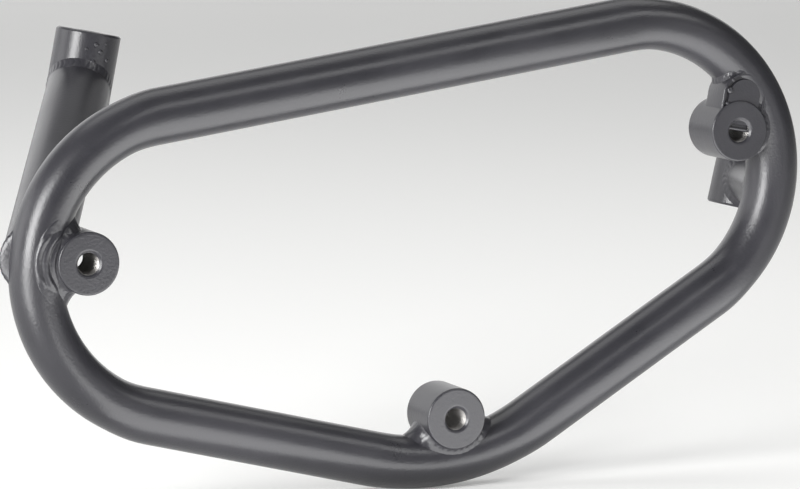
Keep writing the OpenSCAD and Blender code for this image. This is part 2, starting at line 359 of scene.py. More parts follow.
def make_piece(name, verts, faces, materials):
    """A smooth mesh object that rides on the frame and takes its finish from a slot."""
    mesh = bpy.data.meshes.new(name)
    mesh.from_pydata([tuple(v) for v in verts], [], [tuple(f) for f in faces])
    mesh.polygons.foreach_set("use_smooth", [True] * len(mesh.polygons))
    return place_piece(name, mesh, materials)


def place_piece(name, mesh, materials):
    """Makes a mesh a piece of the frame, with outward faces and its materials."""
    tidy = bmesh.new()
    tidy.from_mesh(mesh)
    bmesh.ops.recalc_face_normals(tidy, faces=tidy.faces)
    tidy.to_mesh(mesh)
    tidy.free()
    piece = new_object(name, mesh)
    for material in materials:
        mesh.materials.append(material)
    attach(piece, ROOT)
    return piece


def grid_faces(rows, cols, close_rows=True):
    """Faces of a grid of points whose columns close on themselves."""
    last = rows if close_rows else rows - 1
    r = np.repeat(np.arange(last), cols)
    c = np.tile(np.arange(cols), last)
    after = (r + 1) % rows
    beside = (c + 1) % cols
    return np.stack([r * cols + c, r * cols + beside, after * cols + beside,
                     after * cols + c], 1)


def rounded(corners, radius, steps=4, room=0.3, beside=0.3):
    """An outline with each corner rounded off, and points beside each round to keep flats flat.

    A round takes up no more than the share room of the edges that it joins, and the points
    beside it stand off by the share beside of what it takes up.
    """
    points = []
    count = len(corners)
    for i in range(count):
        here = np.array(corners[i], float)
        before = np.array(corners[i - 1], float) - here
        after = np.array(corners[(i + 1) % count], float) - here
        cut = min(radius, room * np.hypot(*before), room * np.hypot(*after))
        start = here + before / np.hypot(*before) * cut
        end = here + after / np.hypot(*after) * cut
        points.append(start + before / np.hypot(*before) * cut * beside)
        for k in range(steps + 1):
            t = k / steps
            points.append((1 - t) ** 2 * start + 2 * t * (1 - t) * here + t * t * end)
        points.append(end + after / np.hypot(*after) * cut * beside)
    return points


def axes_along(direction):
    """A turn that takes Z to a direction."""
    return Vector(direction).to_track_quat("Z", "Y").to_matrix().to_4x4()


def revolved(outline, place, direction):
    """Points and faces of a closed outline of radius and height, turned round an axis."""
    angles = np.arange(TURNED_POINTS) * 2 * pi / TURNED_POINTS
    rows = []
    for radius, height in outline:
        reach = np.broadcast_to(radius, TURNED_POINTS)
        rows.append(np.stack([reach * np.cos(angles), reach * np.sin(angles),
                              np.full(TURNED_POINTS, height)], 1))
    flat = np.concatenate(rows)
    turn = np.array(Matrix.Translation(place) @ axes_along(direction))
    return flat @ turn[:3, :3].T + turn[:3, 3], grid_faces(len(rows), TURNED_POINTS)


# Skins that the beads are laid on


def unit(rows):
    """Rows scaled to length one."""
    return rows / np.linalg.norm(rows, axis=1, keepdims=True)


class RoundSkin:
    """The skin of a straight round bar."""

    def __init__(self, point, axis, radius):
        self.point = np.array(point)
        self.axis = np.array(Vector(axis).normalized())
        self.radius = radius

    def off_axis(self, rows):
        """How far the rows lie off the bar's axis, as vectors."""
        off = rows - self.point
        return off - np.outer(off @ self.axis, self.axis)

    def normal(self, rows):
        return unit(self.off_axis(rows))

    def onto(self, rows, sink):
        """The rows moved to the skin, or a little under it."""
        off = self.off_axis(rows)
        return rows - off + unit(off) * (self.radius - sink)


class BendSkin:
    """The flattened skin of the tube in a bend."""

    rim = 0.995  # share of the tube's half width within which its front is looked for

    def __init__(self, i):
        centres, radii = bends()
        self.middle = np.array([centres[i, 0], 0, centres[i, 1]])
        self.bend_r = radii[i]
        self.flat_in, self.flat_out = flattened(i)

    def split(self, rows):
        """Direction out of the bend, and the distance across from the tube's centre line."""
        off = (rows - self.middle) * (1, 0, 1)
        reach = np.linalg.norm(off, axis=1)
        return off / reach[:, None], reach - self.bend_r

    def normal(self, rows):
        out, across = self.split(rows)
        steep = out * (across / self.flat_in ** 2)[:, None]
        steep[:, 1] = rows[:, 1] / self.flat_out ** 2
        return unit(steep)

    def onto(self, rows, sink):
        """The rows moved to the skin, or a little under it."""
        out, across = self.split(rows)
        share = np.hypot(across / self.flat_in, rows[:, 1] / self.flat_out)
        skin = self.middle + out * (self.bend_r + across / share)[:, None]
        skin[:, 1] = rows[:, 1] / share
        return skin - self.normal(skin) * sink

    def front(self, rows):
        """The rows moved along Y to the front of the tube."""
        _, across = self.split(rows)
        share = np.clip(np.abs(across) / self.flat_in, 0, self.rim)
        moved = np.array(rows)
        moved[:, 1] = -self.flat_out * np.sqrt(1 - share ** 2)
        return moved


class ArchSkin:
    """The upright skin of the gusset: two flanks under a round arch."""

    def __init__(self):
        boss = bpy.context.scene.pannier_boss
        lean = boss.gusset_lean
        self.base = np.array(MOUNTS["boss_upper_thread"]["pos_m"])
        self.across = np.array([cos(lean), 0, -sin(lean)])
        self.up = np.array([sin(lean), 0, cos(lean)])
        self.half = boss.gusset_w / 2
        self.reach = boss.gusset_reach

    def place(self, across, up, y=0.0):
        """A point of the gusset, from its place across and up from the boss axis."""
        return self.base + across * self.across + up * self.up + np.array([0, y, 0])

    def off_middle(self, rows):
        """How far the rows lie off the middle of the flanks and the arch, as vectors."""
        off = rows - self.base
        above = np.maximum(off @ self.up - self.reach, 0)
        return np.outer(off @ self.across, self.across) + np.outer(above, self.up)

    def normal(self, rows):
        return unit(self.off_middle(rows))

    def onto(self, rows, sink):
        """The rows moved to the skin, or a little under it."""
        off = self.off_middle(rows)
        return rows - off + unit(off) * (self.half - sink)


# Weld beads

SEAM_POINTS = 480  # fine points round a boss's seam
FOOT_POINTS = 240  # fine points round a brace's seams
BEAD_POINTS = 13  # points across a bead's face
BEAD_ROOT = 0.0006  # depth of a bead's root under its seam
END_RUN = 0.0018  # length over which an open bead comes up from its end
END_SHARE = 0.1  # share of its legs that an open bead has at its very end
RIPPLE_MIDDLE = 0.6  # middle height of a ripple, so that ripples don't thicken a bead
FIRST_RIPPLE = 0.25  # how far the first ripple may lie off its place, in pitches
WELD_CREASE = radians(70)  # fold above which the shading of a weld breaks

# Reach from the boss axis, half sweep and share of the full height of the passes laid beside
# the left boss
PASSES = (
    (0.0113, radians(60), 1.0),
    (0.0139, radians(50), 1.0),
    (0.0164, radians(36), 0.85),
)
PASS_BOW = 0.0012  # how far the ends of a pass bend in
PASS_END = 1.15  # where a pass has faded out, as a share of its half sweep
PASS_FADE = 0.55  # run over which it fades, as a share of its half sweep
PAD_REACH = (0.0093, 0.0182)  # near and far edge of the pad that the passes make
PAD_SWEEP = 66  # half sweep of the pad, in degrees
PAD_COVER = 0.00016  # height of the pad between its passes
PAD_SINK = 0.0002  # how deep the pad lies in the tube past the ends of its passes
PAD_EDGE = 0.0012  # width of the pad's far edge, which runs down into the tube
PAD_EDGE_SINK = 0.0003  # how deep that edge ends
PAD_ROOT = 0.0008  # depth of the pad's root

# Place across, place up and radius of the drops on the gusset's face
GUSSET_DROPS = ((-0.0056, 0.0128, 0.0011), (-0.0058, 0.0084, 0.0007), (-0.0050, 0.0163, 0.0006))
# Degrees round from the front, place up and radius of the drops on the strut's sleeve
SLEEVE_DROPS = (
    (-2, 0.0080, 0.0010),
    (-1, 0.0141, 0.0008),
    (-17, 0.0122, 0.0006),
    (9, 0.0118, 0.0008),
    (25, 0.0093, 0.0007),
    (17, 0.0148, 0.0005),
)
DROP_HEIGHT = 0.6  # height of a drop of spatter, as a share of its radius


def spread(points, pitch, closed=True):
    """Points set evenly along a line of many fine points, with the seam's direction at each."""
    line = np.array(points, float)
    if closed:
        line = np.vstack([line, line[:1]])
    run = np.concatenate([[0], np.cumsum(np.linalg.norm(np.diff(line, axis=0), axis=1))])
    count = max(2, round(run[-1] / pitch))
    goals = run[-1] * np.arange(count) / (count if closed else count - 1)
    places = np.stack([np.interp(goals, run, line[:, k]) for k in range(3)], 1)
    ahead = np.roll(places, -1, 0) - np.roll(places, 1, 0)
    if not closed:
        ahead[0] = places[1] - places[0]
        ahead[-1] = places[-1] - places[-2]
    return places, unit(ahead), run[-1]


def strip_faces(rows, cols, closed):
    """Faces of a strip whose columns close on themselves, capped where it is open."""
    faces = grid_faces(rows, cols, closed).tolist()
    if not closed:
        faces.append(list(range(cols)))
        faces.append(list(range((rows - 1) * cols, rows * cols))[::-1])
    return faces


def bead(points, skins, toward, legs, rng, closed=True):
    """One bead in the corner that two skins make along a seam.

    toward(normals) gives, for each skin, the side of the seam that the bead lies on there,
    and legs(places) gives the bead's leg on each skin.
    """
    weld = bpy.context.scene.pannier_weld
    places, along, total = spread(points, weld.step, closed)
    run = np.arange(len(places)) / len(places) * total
    taper = np.ones(len(places))
    if not closed:
        end = np.minimum(np.arange(len(places)), np.arange(len(places))[::-1]) * weld.step
        taper = END_SHARE + (1 - END_SHARE) * np.sqrt(np.clip(end / END_RUN, 0, 1))
    normals = [skin.normal(places) for skin in skins]
    edges = []
    for skin, normal, way, leg in zip(skins, normals, toward(normals), legs(places)):
        side = unit(np.cross(along, normal))
        side *= np.sign((side * way).sum(1, keepdims=True))
        edges.append(skin.onto(places + side * (leg * taper)[:, None], weld.sink))
    out = unit(normals[0] + normals[1])
    middle = (edges[0] + edges[1]) / 2
    throat = ((middle - places) * out).sum(1)
    lift = np.maximum(-weld.hollow * throat, weld.cover * taper - throat)
    control = middle + 2 * out * lift[:, None]

    count = max(1, round(total / weld.pitch))
    uneven = 1 + weld.wander * rng.uniform(-1, 1, count + 2)
    shift = FIRST_RIPPLE * rng.uniform(-1, 1)
    columns = []
    for v in np.linspace(0, 1, BEAD_POINTS):
        curve = (1 - v) ** 2 * edges[0] + 2 * v * (1 - v) * control + v * v * edges[1]
        phase = run / total * count + weld.lag * 4 * v * (1 - v) + shift
        which = np.floor(phase).astype(int) % count if closed else np.floor(phase).astype(int)
        hump = np.abs(np.sin(pi * phase)) - RIPPLE_MIDDLE
        height = weld.ripple * hump * uneven[which] * sin(pi * v) * taper
        columns.append(curve + out * height[:, None])
    columns.append(places - out * BEAD_ROOT)
    verts = np.stack(columns, 1).reshape(-1, 3)
    return verts, strip_faces(len(places), len(columns), closed)


def held_behind(rows, front, soft=0.0004):
    """Rows pressed back softly where they would come in front of a plane."""
    near = rows[:, 1] - front
    pressed = front + soft * np.exp(np.minimum(near - soft, 0) / soft)
    rows[:, 1] = np.where(near < soft, pressed, rows[:, 1])
    return rows


def drop(place, direction, radius):
    """Points and faces of one drop of spatter, low over the skin that it lies on."""
    ball = bmesh.new()
    bmesh.ops.create_icosphere(ball, subdivisions=3, radius=radius)
    turn = np.array(axes_along(direction))[:3, :3]
    rows = np.array([v.co[:] for v in ball.verts]) * (1, 1, DROP_HEIGHT) @ turn.T
    faces = [[v.index for v in f.verts] for f in ball.faces]
    ball.free()
    return rows + np.array(place), faces


def make_weld(node, parts):
    """The finished weld that stands for a weld node, from rows of points and their faces."""
    verts, faces, first = [], [], 0
    for rows, rings in parts:
        verts.append(rows)
        faces += [[first + k for k in ring] for ring in rings]
        first += len(rows)
    piece = make_piece(node + "_bead", np.concatenate(verts), faces,
                       [weld_coat()])
    piece.data.set_sharp_from_angle(angle=WELD_CREASE)
    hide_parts(node)


def boss_seam(i, at):
    """Fine points of a boss's seam on the inside of bend i."""
    boss = bpy.context.scene.pannier_boss
    centres, radii = bends()
    flat_in, flat_out = flattened(i)
    half = boss.d / 2
    deep = flat_out * sqrt(1 - ((boss.inset - half) / flat_in) ** 2)
    axis_r = radii[i] - boss.inset
    points = []
    for a in np.linspace(0, 2 * pi, SEAM_POINTS, endpoint=False):
        y = -deep * cos(a)
        tube_r = radii[i] - flat_in * sqrt(max(0.0, 1 - (y / flat_out) ** 2))
        c = (tube_r ** 2 - axis_r ** 2 - half ** 2) / (2 * axis_r * half)
        swing = acos(min(1.0, c)) * (1 if sin(a) >= 0 else -1)
        points.append(round_bend(i, at, boss.inset, y) + half * Vector(
            (cos(at + swing), 0, sin(at + swing))))
    return points


def gusset_seam():
    """Fine points where the gusset's arch meets the right bend, from its back over the top."""
    boss = bpy.context.scene.pannier_boss
    arch = ArchSkin()
    skin = BendSkin(RIGHT)
    back = boss.gusset_t + boss.gusset_step - boss.front
    start = radians(175)
    arch_points = 4000
    flank_points = 200
    line = [arch.place(arch.half * cos(a), arch.reach + arch.half * sin(a))
            for a in np.linspace(start, 0, arch_points)]
    low = sqrt((boss.d / 2) ** 2 - arch.half ** 2)
    line += [arch.place(arch.half, up) for up in np.linspace(arch.reach, low, flank_points)]
    line = np.array(line)
    _, across = skin.split(line)
    on_tube = line[np.abs(across) < skin.flat_in * skin.rim]
    front = skin.front(on_tube)
    behind = front * (1, -1, 1)
    left_part = np.arange(len(behind)) < arch_points // 2
    behind = behind[(behind[:, 1] < back) & left_part]
    return np.concatenate([behind[::-1], front])


# Materials

MOTTLE_SCALE = 55.0  # scale of the coat's broad mottle
MOTTLE_RANGE = (0.35, 0.95)  # noise at which the coat is darkest and lightest
DULLING = 0.10  # roughness that the lightest mottle adds
PEEL_NOISE = 0.7  # share of the fine noise in the orange peel
PEEL_DEPTH = 0.00012  # depth of the orange peel
TURNING_SCALE = 2600.0  # scale of the thread's turning marks
TURNING_DARK = 0.6  # how dark those marks are, as a share of the steel's colour
TURNING_ROUGHNESS = (0.34, 0.50)  # least and most roughness of the thread


def new_material(name):
    """A material, its node tree and its shader."""
    material = bpy.data.materials.new(name)
    material.use_nodes = True
    return material, material.node_tree, material.node_tree.nodes["Principled BSDF"]


def math_node(tree, operation, *inputs):
    """What comes out of a math node fed with numbers or with other nodes' outputs."""
    node = tree.nodes.new("ShaderNodeMath")
    node.operation = operation
    for socket, value in zip(node.inputs, inputs):
        if isinstance(value, bpy.types.NodeSocket):
            tree.links.new(value, socket)
        else:
            socket.default_value = value
    return node.outputs["Value"]


def new_group(name, inputs, outputs):
    """A shader node group with named sockets."""
    group = bpy.data.node_groups.new(name, "ShaderNodeTree")
    for label, kind, value in inputs:
        socket = group.interface.new_socket(label, in_out="INPUT", socket_type=kind)
        socket.default_value = value
    for label, kind in outputs:
        group.interface.new_socket(label, in_out="OUTPUT", socket_type=kind)
    return group


def powder_texture():
    """Node group of the powder coat: mottled colour, roughness and the fine orange peel."""
    name = "Powder texture"
    if name in bpy.data.node_groups:
        return bpy.data.node_groups[name]
    group = new_group(
        name,
        [("Dark", "NodeSocketColor", (0.03, 0.03, 0.03, 1)),
         ("Light", "NodeSocketColor", (0.06, 0.06, 0.06, 1)),
         ("Roughness", "NodeSocketFloat", 0.4),
         ("Grain scale", "NodeSocketFloat", 1400.0),
         ("Speckle", "NodeSocketFloat", 0.3)],
        [("Color", "NodeSocketColor"), ("Roughness", "NodeSocketFloat"),
         ("Height", "NodeSocketFloat")])
    nodes = group.nodes
    link = group.links.new
    start = nodes.new("NodeGroupInput")
    end = nodes.new("NodeGroupOutput")
    where = nodes.new("ShaderNodeTexCoord")

    broad = nodes.new("ShaderNodeTexNoise")
    broad.inputs["Scale"].default_value = MOTTLE_SCALE
    broad.inputs["Detail"].default_value = 3.0
    link(where.outputs["Object"], broad.inputs["Vector"])

    fine = nodes.new("ShaderNodeTexNoise")
    fine.inputs["Detail"].default_value = 2.0
    fine.inputs["Roughness"].default_value = 0.6
    link(where.outputs["Object"], fine.inputs["Vector"])
    link(start.outputs["Grain scale"], fine.inputs["Scale"])

    dots = nodes.new("ShaderNodeTexVoronoi")
    dots.feature = "SMOOTH_F1"
    link(where.outputs["Object"], dots.inputs["Vector"])
    link(start.outputs["Grain scale"], dots.inputs["Scale"])

    speckled = math_node(group, "MULTIPLY_ADD", fine.outputs["Fac"],
                         start.outputs["Speckle"], broad.outputs["Fac"])
    mottle = nodes.new("ShaderNodeMapRange")
    mottle.inputs["From Min"].default_value, mottle.inputs["From Max"].default_value = (
        MOTTLE_RANGE)
    link(speckled, mottle.inputs["Value"])

    tint = nodes.new("ShaderNodeMix")
    tint.data_type = "RGBA"
    link(mottle.outputs["Result"], tint.inputs["Factor"])
    link(start.outputs["Dark"], tint.inputs["A"])
    link(start.outputs["Light"], tint.inputs["B"])
    link(tint.outputs["Result"], end.inputs["Color"])

    link(math_node(group, "MULTIPLY_ADD", mottle.outputs["Result"], DULLING,
                   start.outputs["Roughness"]), end.inputs["Roughness"])
    link(math_node(group, "MULTIPLY_ADD", fine.outputs["Fac"], PEEL_NOISE,
                   dots.outputs["Distance"]), end.inputs["Height"])
    return group


def coat_material(name, grain_share, bump, lighter):
    """Powder coat in one of its grains, its colours scaled by lighter: above one, painted
    light.
    """
    if name in bpy.data.materials:
        return bpy.data.materials[name]
    look = bpy.context.scene.pannier_coat
    material, tree, shader = new_material(name)
    texture = tree.nodes.new("ShaderNodeGroup")
    texture.node_tree = powder_texture()
    # lighter scales the coat's colours; above one it paints the same powder lighter, as painted
    # light
    texture.inputs["Dark"].default_value = [c * lighter for c in look.coat] + [1]
    texture.inputs["Light"].default_value = [c * lighter for c in look.coat_light] + [1]
    texture.inputs["Roughness"].default_value = look.gloss
    texture.inputs["Grain scale"].default_value = 1 / (look.grain * grain_share)
    rise = tree.nodes.new("ShaderNodeBump")
    rise.inputs["Strength"].default_value = bump
    rise.inputs["Distance"].default_value = PEEL_DEPTH
    tree.links.new(texture.outputs["Color"], shader.inputs["Base Color"])
    tree.links.new(texture.outputs["Roughness"], shader.inputs["Roughness"])
    tree.links.new(texture.outputs["Height"], rise.inputs["Height"])
    tree.links.new(rise.outputs["Normal"], shader.inputs["Normal"])
    return material


def tube_coat():
    """Powder coat on the tubes and turned pieces."""
    return coat_material("Powder coat", 1.0, 0.30, 1.0)


def weld_coat():
    """Powder coat over the weld beads, which takes a coarser grain and a colour painted a
    little lighter, as painted light standing in for the light that the ripples catch.
    """
    # 1.05 paints the beads lighter than the tubes: painted light on the ripples, not a
    # different powder
    return coat_material("Powder coat on welds", 1.5, 0.45, 1.05)


def thread_steel():
    """Bare cut steel of the threads, with fine turning marks."""
    name = "Thread steel"
    if name in bpy.data.materials:
        return bpy.data.materials[name]
    look = bpy.context.scene.pannier_coat
    material, tree, shader = new_material(name)
    shader.inputs["Metallic"].default_value = 1.0
    where = tree.nodes.new("ShaderNodeTexCoord")
    marks = tree.nodes.new("ShaderNodeTexNoise")
    marks.inputs["Scale"].default_value = TURNING_SCALE
    tree.links.new(where.outputs["Object"], marks.inputs["Vector"])
    shade = tree.nodes.new("ShaderNodeMix")
    shade.data_type = "RGBA"
    shade.inputs["A"].default_value = [c * TURNING_DARK for c in look.steel] + [1]
    shade.inputs["B"].default_value = [*look.steel, 1]
    tree.links.new(marks.outputs["Fac"], shade.inputs["Factor"])
    tree.links.new(shade.outputs["Result"], shader.inputs["Base Color"])
    gloss = tree.nodes.new("ShaderNodeMapRange")
    gloss.inputs["To Min"].default_value, gloss.inputs["To Max"].default_value = (
        TURNING_ROUGHNESS)
    tree.links.new(marks.outputs["Fac"], gloss.inputs["Value"])
    tree.links.new(gloss.outputs["Result"], shader.inputs["Roughness"])
    return material


# Operators


class PANNIER_OT_loop(bpy.types.Operator):
    """Makes the bent loop tube, closed by a butt weld ground flush."""

    bl_idname = "pannier.loop"
    bl_label = "Loop tube"

    def execute(self, context):
        around = 112
        step = 0.0014
        rows = loop_stations(step)
        angles = np.arange(around) * 2 * pi / around
        reach = rows[:, 4:5] * np.cos(angles)
        depth = rows[:, 5:6] * np.sin(angles)
        x = rows[:, 0:1] + rows[:, 2:3] * reach
        z = rows[:, 1:2] + rows[:, 3:4] * reach
        verts = np.stack([x, depth, z], 2).reshape(-1, 3)
        faces = grid_faces(len(rows), around)
        piece = make_piece("loop_tube_skin", verts, faces, [tube_coat()])
        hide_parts("loop_tube", "loop_closing_weld")
        return {"FINISHED"}


class PANNIER_OT_bosses(bpy.types.Operator):
    """Makes the three turned bosses with their cut threads."""

    bl_idname = "pannier.bosses"
    bl_label = "Case bosses"

    def execute(self, context):
        for side in ("left", "lower", "upper"):
            self.make_boss(side, context.scene.pannier_boss)
        return {"FINISHED"}

    def make_boss(self, side, boss):
        mount = MOUNTS[f"boss_{side}_thread"]
        front = Vector(mount["pos_m"]) + OUT * boss.front
        crest = mount["dims"]["r_mm"] * MM
        mouth = boss.mouth_d / 2
        rim = mouth + 0.0006
        coated_lead = 1.2 * (mouth - crest)
        coated = [(rim, 0)] + self.shoulder(boss.d / 2, boss) + [(rim, boss.length)]
        outline = coated + self.thread_rows(crest, mouth, boss)[::-1]
        verts, faces = revolved(outline, front, -OUT)
        piece = make_piece(f"boss_{side}_turned", verts, faces,
                           [tube_coat(), thread_steel()])
        height = np.array([h for _, h in outline])
        inside = (height > coated_lead) & (height < boss.length - coated_lead)
        bare = np.repeat((np.arange(len(outline)) >= len(coated)) & inside, TURNED_POINTS)
        piece.data.polygons.foreach_set("material_index", bare.astype(int))
        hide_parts(f"boss_{side}")

    def shoulder(self, half, boss):
        """Outside of a boss from its front face to its back, with rounded edges."""
        steps = 5
        beside = boss.edge * 1.5
        points = []
        for k in range(steps + 1):
            a = pi / 2 * k / steps
            points.append((half - boss.edge * (1 - sin(a)), boss.edge * (1 - cos(a))))
        front = [(half - beside, 0)] + points + [(half, beside)]
        middle = [(half, boss.length / 2)]
        back = [(r, boss.length - h) for r, h in front[::-1]]
        return front + middle + back

    def thread_rows(self, crest, mouth, boss):
        """Rows of radius and height down the tapped hole, from the front mouth to the back."""
        count = 221
        steep = 1.35
        land = 0.2
        turns = np.arange(TURNED_POINTS) / TURNED_POINTS
        rows = []
        for height in np.linspace(0, boss.length, count):
            phase = (height / boss.pitch + turns) % 1
            cut = np.clip(steep * (1 - 2 * np.abs(phase - 0.5)) - land, 0, 1)
            wall = crest + (boss.root_d / 2 - crest) * cut
            lead = mouth - min(height, boss.length - height)
            rows.append((np.maximum(wall, lead), height))
        return rows


class PANNIER_OT_gusset(bpy.types.Operator):
    """Makes the round-topped block over the upper boss, grooved along its front edge."""

    bl_idname = "pannier.gusset"
    bl_label = "Gusset"

    def execute(self, context):
        boss = context.scene.pannier_boss
        arch = ArchSkin()
        front = boss.gusset_step - boss.front
        arch_points = 65
        fold = 0.8
        crease = radians(35)
        outer_wall, inner_wall = 0.0002, 0.0003
        outline = [(-arch.half, 0), (arch.half, 0)]
        for a in np.linspace(0, pi, arch_points):
            outline.append((arch.half * cos(a), arch.reach + arch.half * sin(a)))
        block = bmesh.new()
        ring = [block.verts.new(arch.place(x, z, front)) for x, z in outline]
        face = block.faces.new(ring)
        grown = bmesh.ops.extrude_face_region(block, geom=[face])
        moved = [g for g in grown["geom"] if isinstance(g, bmesh.types.BMVert)]
        bmesh.ops.translate(block, verts=moved, vec=-OUT * boss.gusset_t)
        bmesh.ops.recalc_face_normals(block, faces=block.faces)
        sharp = [e for e in block.edges if e.calc_face_angle(0) > fold]
        bmesh.ops.bevel(block, geom=sharp, offset=boss.edge, segments=4, profile=0.5,
                        affect="EDGES")
        face = max(block.faces, key=lambda f: f.calc_area() * f.normal.dot(OUT))
        for inward, down in ((boss.groove_rim, 0), (outer_wall, -boss.groove_deep),
                             (boss.groove_w, 0), (inner_wall, boss.groove_deep)):
            bmesh.ops.inset_region(block, faces=[face], thickness=inward, depth=down,
                                   use_even_offset=True)
        mesh = bpy.data.meshes.new("gusset")
        block.to_mesh(mesh)
        block.free()
        mesh.polygons.foreach_set("use_smooth", [True] * len(mesh.polygons))
        mesh.set_sharp_from_angle(angle=crease)
        piece = place_piece("gusset_upper_block", mesh, [tube_coat()])
        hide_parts("gusset_upper")
        return {"FINISHED"}


class PANNIER_OT_sleeves(bpy.types.Operator):
    """Makes the two bolt sleeves."""

    bl_idname = "pannier.sleeves"
    bl_label = "Bolt sleeves"

    def execute(self, context):
        brace = context.scene.pannier_brace
        corner = 0.00035
        for side in ("strut", "stub"):
            mount = MOUNTS[f"{side}_bolt_bore"]
            bore = mount["dims"]["r_mm"] * MM
            length = mount["dims"]["length_mm"] * MM + 2 * brace.sleeve_edge
            half = brace.sleeve_d / 2
            edge = brace.sleeve_edge
            corners = [(bore + edge, 0), (half - edge, 0), (half, edge),
                       (half, length - edge), (half - edge, length),
                       (bore + edge, length), (bore, length - edge), (bore, edge)]
            outline = rounded(corners, corner)
            axis = Vector(mount["axis"])
            bottom = Vector(mount["pos_m"]) - axis * length / 2
            verts, faces = revolved(outline, bottom, axis)
            piece = make_piece(f"{side}_sleeve_turned", verts, faces,
                               [tube_coat()])
            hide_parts(f"{side}_sleeve")
        return {"FINISHED"}


def brace_ends(side):
    """Foot on the loop's centre line, head on the sleeve's axis, and the bend it stands on."""
    brace = bpy.context.scene.pannier_brace
    mount = MOUNTS[f"{side}_bolt_bore"]
    axis = Vector(mount["axis"])
    if side == "strut":
        foot, bend, rise = round_bend(LEFT, brace.strut_at), LEFT, brace.strut_rise
    else:
        foot, bend, rise = round_bend(RIGHT, brace.stub_at), RIGHT, brace.stub_rise
    return foot, Vector(mount["pos_m"]) - rise * axis, bend, axis


def crossing(outside, low, high):
    """Where a distance turns from outside, at low, to inside, at high."""
    halvings = 30
    for _ in range(halvings):
        middle = (low + high) / 2
        if outside(middle) > 0:
            low = middle
        else:
            high = middle
    return (low + high) / 2


def brace_rings(side, radius, count):
    """Points round a brace where its skin meets the loop, and where it meets its sleeve."""
    brace = bpy.context.scene.pannier_brace
    foot, head, bend, axis = brace_ends(side)
    direction = (head - foot).normalized()
    length = (head - foot).length
    side_a = direction.cross(Vector((0, 0, 1))).normalized()
    side_b = side_a.cross(direction)
    feet, heads = [], []
    for k in range(count):
        a = 2 * pi * k / count
        skin = foot + radius * (cos(a) * side_a + sin(a) * side_b)

        def off_loop(down):
            p = skin + direction * (length / 2 - down)
            return min(off_bend(p, bend), p.y - brace.foot_end_y)

        def off_sleeve(up):
            p = skin + direction * (length / 2 + up) - head
            return p.cross(axis).length - brace.sleeve_d / 2

        feet.append(skin + direction * (length / 2 - crossing(off_loop, 0, length)))
        heads.append(skin + direction * (length / 2 + crossing(off_sleeve, 0, length)))
    return feet, heads


class PANNIER_OT_braces(bpy.types.Operator):
    """Makes the strut and the stub, coped to the loop and to their sleeves."""

    bl_idname = "pannier.braces"
    bl_label = "Strut and stub"

    def execute(self, context):
        brace = context.scene.pannier_brace
        count = 128
        rows_between = 24
        crease = radians(50)
        for side, width in (("strut", brace.strut_d), ("stub", brace.stub_d)):
            outside = [np.array(r) for r in brace_rings(side, width / 2, count)]
            inside = [np.array(r) for r in brace_rings(side, width / 2 - brace.wall, count)]
            rows = []
            for t in np.linspace(0, 1, rows_between):
                rows.append(outside[0] * (1 - t) + outside[1] * t)
            for t in np.linspace(0, 1, rows_between):
                rows.append(inside[1] * (1 - t) + inside[0] * t)
            verts = np.concatenate(rows)
            piece = make_piece(f"{side}_tube_coped", verts, grid_faces(len(rows), count),
                               [tube_coat()])
            piece.data.set_sharp_from_angle(angle=crease)
            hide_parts(f"{side}_tube")
        return {"FINISHED"}


